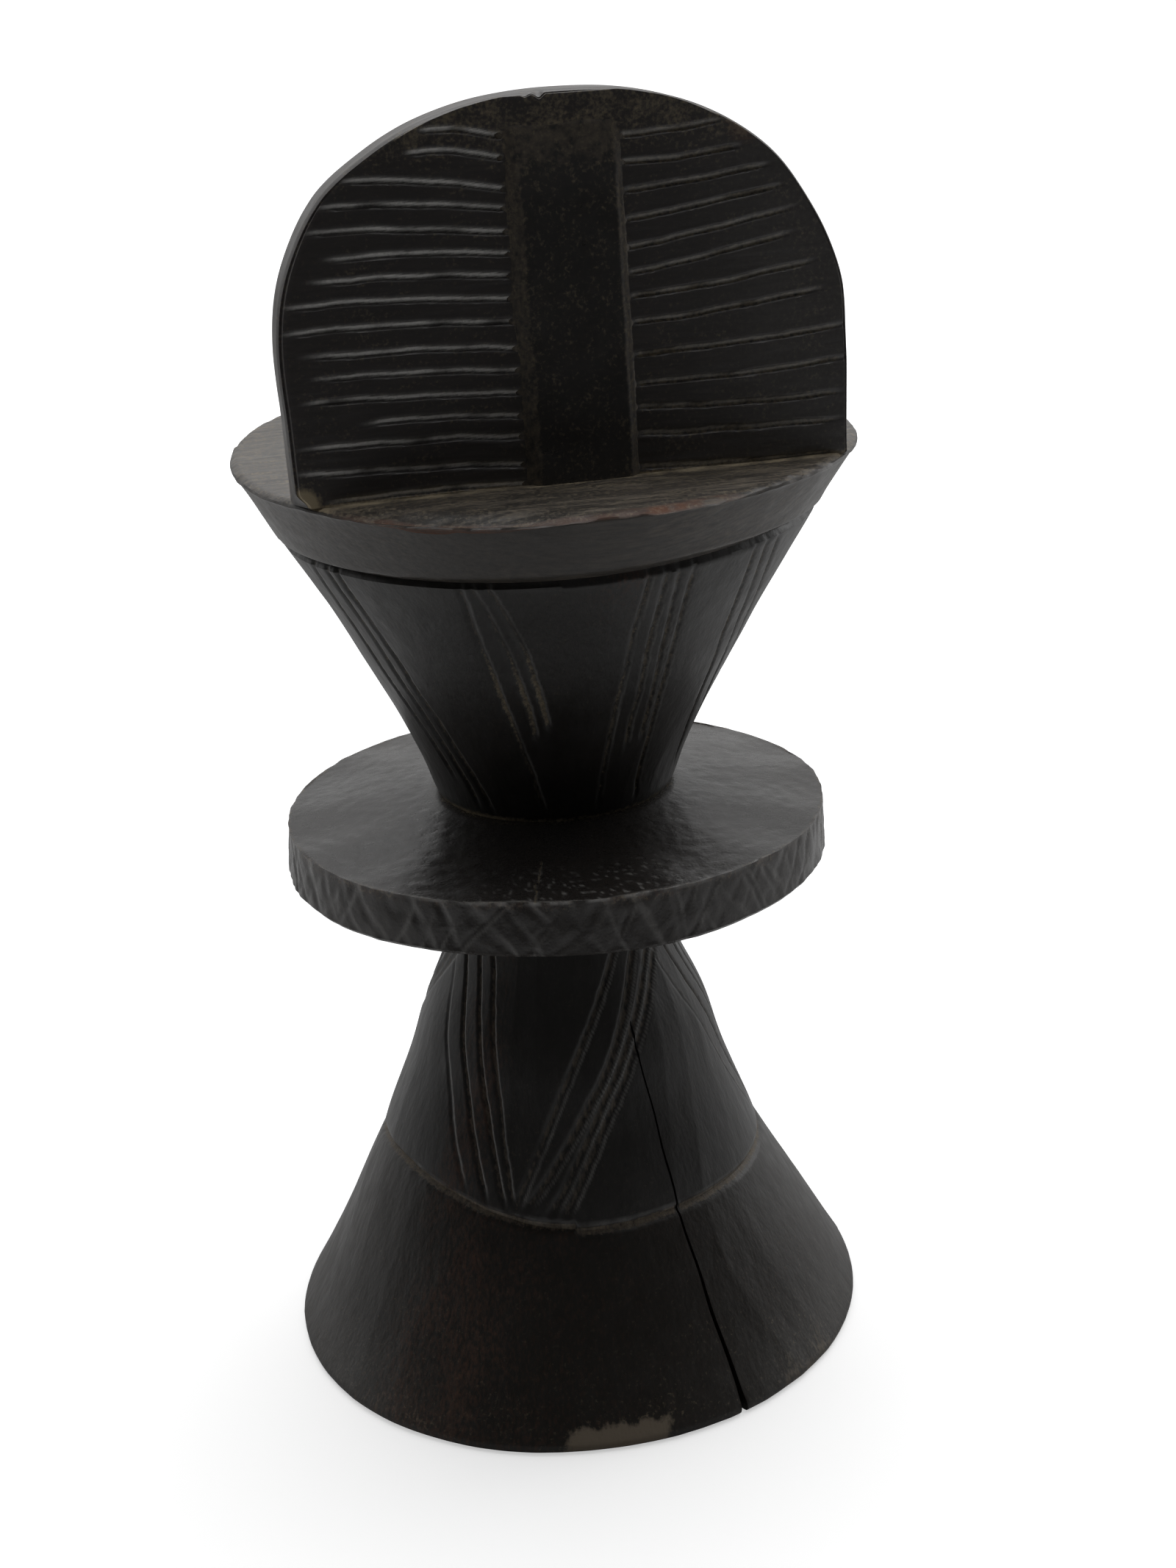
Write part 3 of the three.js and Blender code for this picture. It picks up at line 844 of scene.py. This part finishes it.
def platform_cut(bearing, radius, height):
    """The platform's underside, its dusty top with the chipped lip, or the collar's side."""
    x, y = on_circle(bearing, radius)
    if height < collar_ring + 0.01 and radius < collar_foot_radius - 2.0:
        return radius, collar_level(bearing), (0, 0, 0)
    from_rim = platform_radius - radius
    outer = smooth(-from_rim, -8.0, 0.0)
    uneven = 0.25 * jitter(x / 2.3, y / 2.3, 1) + 0.2 * ripple(x, y, 0, 5.0)
    # The lip is bevelled by wear in front and slumps to the left of that.
    bevel = swell(bearing, 283, 24) * (0.7 + 0.6 * ripple(x, y, 0, 4.0))
    slump = swell(bearing, 242, 32) * (0.8 + 0.4 * ripple(x, y, 9, 5.0))
    drop = 0.6 * bevel * smooth(3.6 - from_rim, 0.0, 3.4)
    drop += 1.5 * slump * smooth(4.0 - from_rim, 0.0, 4.0)
    drop += (0.3 + uneven) * smooth(0.9 - from_rim, 0.0, 0.8)
    back_right = 0.7 * swell(bearing, 15, 42)
    # There the wood is rubbed red-brown, and paler on the bevel.
    worn = 0.8 * swell(bearing, 236, 22) + 0.55 * swell(bearing, 262, 40)
    worn *= smooth(1.4 - from_rim, 0.0, 0.9)
    light = swell(bearing, 279, 19) * smooth(2.4 - from_rim, 0.0, 1.4)
    light *= smooth(ripple(x, y, 4.0, 2.2), 0.2, 0.55)
    if height > platform_height - 0.02:
        grain = 0.1 * jitter(x / 9.0, y / 1.1, 3)
        drop += 0.12 + grain + 0.15 * ripple(x * 0.4, y, 3.0, 6.0)
        # Dust lies along the foot of the plate, at its left corner and in streaks along the grain.
        ahead = plate_face - y
        dust = 1.5 * smooth(1.5 - abs(ahead - 0.5), 0.0, 1.1) * ripple(x * 0.6, y, 5, 1.5)
        corner = math.hypot(x + 34.8, y - plate_face)
        dust = max(dust, 1.4 * smooth(2.6 - corner, 0.0, 1.4))
        dust = max(dust, 0.6 * ripple(x * 0.25, y, 0, 1.6) * smooth(9.0 - abs(ahead), 0.0, 5.0))
        dust = max(dust, 0.42 * ripple(x * 0.15, y, 0, 0.9), 0.22 * light)
        streaks = 0.5 * smooth(ripple(x * 0.1, y, 2.0, 0.9), 0.38, 0.62) * smooth(ahead, -2.0, 1.0)
        height += platform_tilt(x, y)
        marks = (dust, max(worn, light), streaks * (1 - light), 0.035)
        return radius - (0.15 + back_right) * outer, height - drop, marks
    hand = hand_finish(bearing, radius, height, 18, 0.12) * smooth(height, collar_ring, 130.0)
    hand *= 1 - 0.8 * slump
    hand -= 0.25 * swell(height, 127, 7)
    at_ring = 1 - smooth(height, collar_ring, platform_height - 1.5)
    placed = height + (collar_level(bearing) - collar_ring) * at_ring
    ring = collar_cut(bearing, placed)
    near_top = smooth(height, platform_height - 1.4, platform_height - 0.1)
    ring += back_right * smooth(height, platform_height - 4.0, platform_height)
    edge_wear = max(worn, 0.7 * light) * near_top
    placed += platform_tilt(x, y) * smooth(height, collar_ring, platform_height)
    marks = (0.22 * light * near_top, edge_wear, 0.0, 0.03)
    return radius - hand - ring, placed - drop * near_top, marks


collar = side_rows((collar_foot_radius, collar_ring), (platform_radius, platform_height - 0.7),
                   0.0, 0.3)
top_round = [(platform_radius - 0.12, platform_height - 0.2)]
top_rows = [(platform_radius - 0.4 - 0.5 * i, platform_height) for i in range(84)]
platform = turned("carved_platform",
                  [(0.0, collar_ring)] + collar + top_round + top_rows + [(0.0, platform_height)])
carve(platform, platform_cut)
# Grained top that nobody polishes: grey-brown streaks of dust in dull dark wood.
platform_wood = stained_hardwood("stained_hardwood_platform", "#2a2622", "#6b6054",
                                 (0.12, 1, 1), 0.36, 0.08)
dress(platform, platform_wood, "platform")


# Upright plate: one board-like wall left standing across the front of the platform, with a
# round top. Its face has two fields of horizontal knife grooves with painted highlights on their
# lips, and a painted sheen towards its right; its back is plain.
plate_half = (plate_high.x - plate_low.x) / 2 / MM + 0.1
plate_height = (plate_high.z - plate_low.z) / MM
plate_thickness = (plate_high.y - plate_low.y) / MM
plate_middle = (plate_high.x + plate_low.x) / 2 / MM
STRAIGHT_SIDE = 17.0
WEAR_MIDDLE = 12.0
ARCH_FULLNESS = 2.25
ROW_STEP = 0.16
PLATE_COLUMNS = 100
BAND_MIDDLE = 0.5
BAND_HALF = 7.7

# Grooves from the platform up, as (height at the band, climb to the outer end, gap that is left
# before the plate's edge). The left field is cut closer than the right one.
LEFT_GROOVES = ((0.2, 0.2, 4.2), (2.6, 1.3, 1.0), (6.1, 0.8, 1.5), (8.5, 1.0, 9.4),
                (11.4, 1.1, 2.8), (14.3, 1.1, 4.3), (17.1, 1.0, 3.3), (20.4, 0.8, 0.8),
                (23.2, 1.2, 0.8), (25.9, 1.2, 3.5), (28.7, 1.0, 4.6), (31.3, 1.6, 0.6),
                (34.1, 1.8, 0.5), (36.4, 2.4, 0.5), (40.0, 1.4, 4.8), (42.7, 1.2, 2.1))
RIGHT_GROOVES = ((1.0, -1.0, 1.6), (5.0, -0.5, 2.0), (8.3, -0.7, 1.7), (11.3, 0.7, 0.8),
                 (14.8, 1.5, 0.8), (18.9, 2.2, 4.0), (22.2, 2.5, 4.0), (25.1, 3.3, 5.7),
                 (28.3, 3.2, 3.4), (31.7, 2.8, 3.2), (35.1, 1.9, 3.1), (38.4, 1.0, 4.2),
                 (41.8, 0.9, 2.0))


def half_width(rise):
    """Half the plate's width at a height above the platform."""
    if rise <= STRAIGHT_SIDE:
        return plate_half
    share = min((rise - STRAIGHT_SIDE) / (plate_height - STRAIGHT_SIDE), 1.0)
    return plate_half * max(1 - share ** ARCH_FULLNESS, 0.0) ** (1 / ARCH_FULLNESS)


def plate_rises():
    """Heights of the mesh rows: even up to the arch, then closing up towards the crown."""
    count = round(STRAIGHT_SIDE / ROW_STEP)
    rises = [i * STRAIGHT_SIDE / count for i in range(count + 1)]
    while rises[-1] < plate_height - 0.002:
        left = plate_height - rises[-1]
        rises.append(min(rises[-1] + min(ROW_STEP, max(left * 0.12, 0.004)), plate_height))
    return rises


def grooved(across, rise):
    """Depth of the knife grooves, and the painted highlight along the lip above each one."""
    side = -1 if across < BAND_MIDDLE else 1
    start = abs(across - BAND_MIDDLE) - BAND_HALF
    if start < -0.4:
        return 0.0, 0.0
    deepest = painted_highlight = 0.0
    for number, (inner, climb, gap) in enumerate(LEFT_GROOVES if side < 0 else RIGHT_GROOVES):
        if not -2.2 < rise - inner < 2.2 + max(climb, 0.0):
            continue
        reach = half_width(inner + climb) - gap - BAND_HALF
        share = start / reach
        if share > 1.06:
            continue
        bow = (0.35 if side < 0 else -0.25) * math.sin(math.pi * min(max(share, 0.0), 1.0))
        line = inner + climb * share + bow
        line += 0.22 * jitter(across / 6.0, number * 4.4, side)
        line += 0.07 * jitter(across / 1.3, number * 2.2, side)
        above = rise - line
        fade = smooth(1.0 - share, -0.06, 0.14) * smooth(start, -0.4, 0.2)
        depth = (0.34 + 0.3 * ripple(across, number * 5.0, side, 9.0)) * fade
        deepest = max(deepest, knife_cut(above, 0.62 if above > 0 else 0.34, depth))
        glint_breakup = ripple(across * 1.4, number * 7.0, side * 5, 5.0)
        glint = (1.15 if side < 0 else 0.4) * (0.25 + 0.75 * smooth(glint_breakup, 0.15, 0.55))
        painted_highlight = max(painted_highlight, fade * glint * smooth(0.31 - abs(above - 0.22), 0.0, 0.18),
                  0.09 * fade * glint * smooth(0.7 - abs(above - 0.3), 0.0, 0.5))
    return deepest, painted_highlight


def lean(rise):
    """How far the plate and its band lean to the left at a height above the platform."""
    return 0.022 * max(rise - 12.0, 0.0)


def plate_sheet(name, facing, depth):
    """A grid shaped to the plate's outline, at a depth behind its face."""
    rises = plate_rises()
    bpy.ops.object.select_all(action="DESELECT")
    bpy.ops.mesh.primitive_grid_add(x_subdivisions=PLATE_COLUMNS, y_subdivisions=len(rises) - 1,
                                    size=1)
    sheet = bpy.context.object
    sheet.name = name
    for vertex in sheet.data.vertices:
        rise = rises[round((vertex.co.y + 0.5) * (len(rises) - 1))]
        across = vertex.co.x * 2 * facing * half_width(rise)
        vertex.co = (across * MM, depth * MM, rise * MM)
    return sheet


def plate_cut(across, back, rise):
    """Where a point of the plate goes, and its marks, from its place on the flat blank."""
    edge = min(half_width(rise) - abs(across), (plate_height - rise) * 1.2)
    # Two chips at the top of the arch, and edges worn round.
    notch = 0.55 * swell(across, -2.6, 0.9) * smooth(rise, 45.5, 46.6)
    notch += 0.25 * swell(across, -4.3, 0.7) * smooth(rise, 45.5, 46.6)
    outline = 0.16 * ripple(across, rise, 0.0, 7.0) * smooth(2.5 - edge, 0.0, 2.5)
    front = 1 - smooth(back, 0.0, 1.2)
    round_front = 0.5 * front * smooth(0.5 - edge, 0.0, 0.5)
    round_back = 0.35 * smooth(back, plate_thickness - 1.0, plate_thickness)
    shrink = notch * (1 - smooth(back, 0.0, 3.0)) + outline + round_front
    shrink += round_back * smooth(1.5 - edge, 0.0, 1.5)
    scale = 1 - shrink / max(math.hypot(across, rise - WEAR_MIDDLE), 5.0)
    border = smooth(1.3 - edge, 0.0, 1.0)
    bright = swell(math.hypot(across - 23.5, rise - 42.2), 0.0, 3.6) * front
    dust = 0.25 * border * ripple(across, rise, back, 2.5)
    hand = 0.2 * ripple(across, back, rise, 9.0) + 0.05 * jitter(across / 6.0, 2, rise / 0.9)
    if back < 0.01:
        cut, painted_highlight = grooved(across, rise)
        depth = hand + cut + 0.55 * smooth(0.6 - edge, 0.0, 0.6)
        # Painted sheen: the face is painted lighter towards its right side.
        painted_highlight = max(painted_highlight, 0.055 * smooth(across, 6.0, 32.0))
        scrapes = 0.34 * ripple(across / 3.0, 1, rise, 0.9) * ripple(across, 8, rise, 7.0)
        scrapes += 0.5 * smooth(rise, 38.0, 45.0) * ripple(across, 3, rise, 3.0)
        dust = max(dust, scrapes, 0.8 * smooth(0.7 - rise, 0.0, 0.6),
                   (0.1 if across < 0 else 0.5) * smooth(cut, 0.1, 0.3),
                   2.0 * smooth(2.7 - math.hypot(across + 35.4, rise - 0.4), 0.0, 1.7))
    elif back > plate_thickness - 0.01:
        depth = -hand - 0.5 * smooth(1.2 - edge, 0.0, 1.2)
        painted_highlight = 0.0
    else:
        depth = painted_highlight = 0.0
    # The plate leans, both its shoulders are drawn in a little, and its left side swells low down.
    across -= lean(rise) * smooth(plate_height - rise, 0.0, 6.0)
    across -= 0.7 * swell(rise, 32.0, 11.0) * smooth(across, 8.0, 26.0)
    across += 0.7 * swell(rise, 42.5, 6.0) * smooth(-across, 6.0, 18.0)
    across -= 0.3 * swell(rise, 16.0, 16.0) * smooth(-across, 10.0, 30.0)
    # The fourth mark is painted highlight: on the grooves' lips, towards the right, and faintly
    # along the edges.
    return (across * scale, back + depth, WEAR_MIDDLE + (rise - WEAR_MIDDLE) * scale,
            (max(dust, 0.5 * bright), max(0.08 * border, 0.6 * bright), 0.5 * bright,
             max(painted_highlight, 0.03 * border)))


def upright_blank():
    """Front and back sheets bridged into one closed board."""
    front = plate_sheet("carved_upright_plate", 1, 0.0)
    rear = plate_sheet("plate_back", -1, plate_thickness)
    bpy.ops.object.select_all(action="DESELECT")
    rear.select_set(True)
    front.select_set(True)
    bpy.context.view_layer.objects.active = front
    bpy.ops.object.join()
    bpy.ops.object.mode_set(mode="EDIT")
    bpy.ops.mesh.select_all(action="SELECT")
    bpy.ops.mesh.remove_doubles(threshold=1e-7)
    bpy.ops.mesh.select_all(action="DESELECT")
    bpy.ops.mesh.select_mode(type="EDGE")
    bpy.ops.mesh.select_non_manifold(extend=False, use_wire=False, use_boundary=True,
                                     use_multi_face=False, use_non_contiguous=False,
                                     use_verts=False)
    bpy.ops.mesh.bridge_edge_loops(number_cuts=12)
    close_up()
    return front


upright_plate = upright_blank()
plate_marks = upright_plate.data.color_attributes.new("marks", "FLOAT_COLOR", "POINT")
for vertex, mark in zip(upright_plate.data.vertices, plate_marks.data):
    across, back, rise, colours = plate_cut(*(vertex.co / MM))
    # The lower corners are cut back to the platform's rim.
    from_axis = plate_middle + across - wander(platform_height)
    beyond = math.hypot(from_axis, plate_face + back) - platform_radius
    if beyond > 0 and rise < 2:
        across -= math.copysign(beyond * (1 - smooth(rise, 0.0, 2.0)), across)
    vertex.co.x = (plate_middle + across) * MM
    vertex.co.y = (plate_face + back) * MM
    sunk = 0.35 * (1 - smooth(rise, 0.0, 10.0))
    vertex.co.z = (platform_height + max(rise, 0.0) - sunk) * MM
    mark.color = colours
upright_plate.data.update()
# Scraped flat along the grain: dark grey-brown, dull, with faint lengthwise scratches.
plate_wood = stained_hardwood("stained_hardwood_plate", "#3f3c3b", "#524c49", (0.12, 1, 1), 0.42,
                              0.06)
dress(upright_plate, plate_wood, "upright_plate")


# Centre band: the wood between the two fields, left proud with sloping flanks. Its crown is
# glossy black and its flanks are scraped matt brown, with a painted highlight along their foot,
# brighter on the right.
band_low, band_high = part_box("centre_band")
band_relief = (band_high.y - band_low.y) / MM
band_height = (band_high.z - band_low.z) / MM
band_middle = (band_high.x + band_low.x) / 2 / MM
LEFT_FLANK = 2.3
RIGHT_FLANK = 1.5

bpy.ops.object.select_all(action="DESELECT")
bpy.ops.mesh.primitive_grid_add(x_subdivisions=84, y_subdivisions=190, size=1)
centre_band = bpy.context.object
centre_band.name = "carved_centre_band"
bpy.ops.object.mode_set(mode="EDIT")
bpy.ops.mesh.select_all(action="SELECT")
bpy.ops.mesh.extrude_region_move(TRANSFORM_OT_translate={"value": (0, 0, -0.5)})
close_up()
band_marks = centre_band.data.color_attributes.new("marks", "FLOAT_COLOR", "POINT")
for vertex, mark in zip(centre_band.data.vertices, band_marks.data):
    across = vertex.co.x * 2 * (BAND_HALF + 0.25)
    rise = (vertex.co.y + 0.5) * (band_height + 0.6)
    inward = BAND_HALF - abs(across)
    flank = LEFT_FLANK if across < 0 else RIGHT_FLANK
    top_fade = smooth(band_height - rise, -0.4, 9.0)
    up_flank = smooth(inward, 0.0, flank)
    proud = band_relief * up_flank * (0.25 + 0.75 * top_fade)
    proud -= 0.3 * ripple(across, rise, 4.0, 5.0) * up_flank
    foot_line = smooth(0.35 - abs(inward - 0.1), 0.0, 0.3)
    proud -= 0.3 * smooth(-inward, -0.15, 0.25)
    proud -= 0.3 * smooth(rise, band_height - 0.5, band_height + 0.5)
    behind = vertex.co.z < -0.25
    waver = 0.25 * jitter(rise / 9.0, math.copysign(3, across), 0)
    vertex.co.x = (band_middle + across + waver - lean(rise)) * MM
    vertex.co.y = (plate_face + (1.0 if behind else 0.2 - proud)) * MM
    vertex.co.z = (platform_height + rise - 0.3) * MM
    scraped = 1 - smooth(inward, flank - 0.3, flank + 0.5)
    patchy = ripple(across, rise / 2.5, 0, 1.6)
    dust = scraped * (0.1 + 0.2 * patchy) + 0.2 * foot_line * patchy
    dust = max(dust, 0.24 * smooth(rise, 34.0, 43.0) * ripple(across, 3, rise, 2.2),
               0.28 * ripple(across, rise, 6.0, 1.3))
    scrubbed = max(0.5 * smooth(rise, 35.0, 42.5), 0.48 * scraped)
    # Painted highlight: a broken light line along the foot of each flank, brighter on the right.
    painted_highlight = 0.16 * foot_line * smooth(patchy, 0.3, 0.6) * top_fade * (1.0 if across > 0 else 0.5)
    mark.color = (dust, 0.0, scrubbed, painted_highlight)
centre_band.data.update()
# Rubbed smooth on its crown: a dim black gloss with brown specks left in the pores.
band_wood = stained_hardwood("polished_hardwood_band", "#393837", "#4a4541", (0.5, 1, 0.5), 0.32,
                             0.04)
dress(centre_band, band_wood, "centre_band")
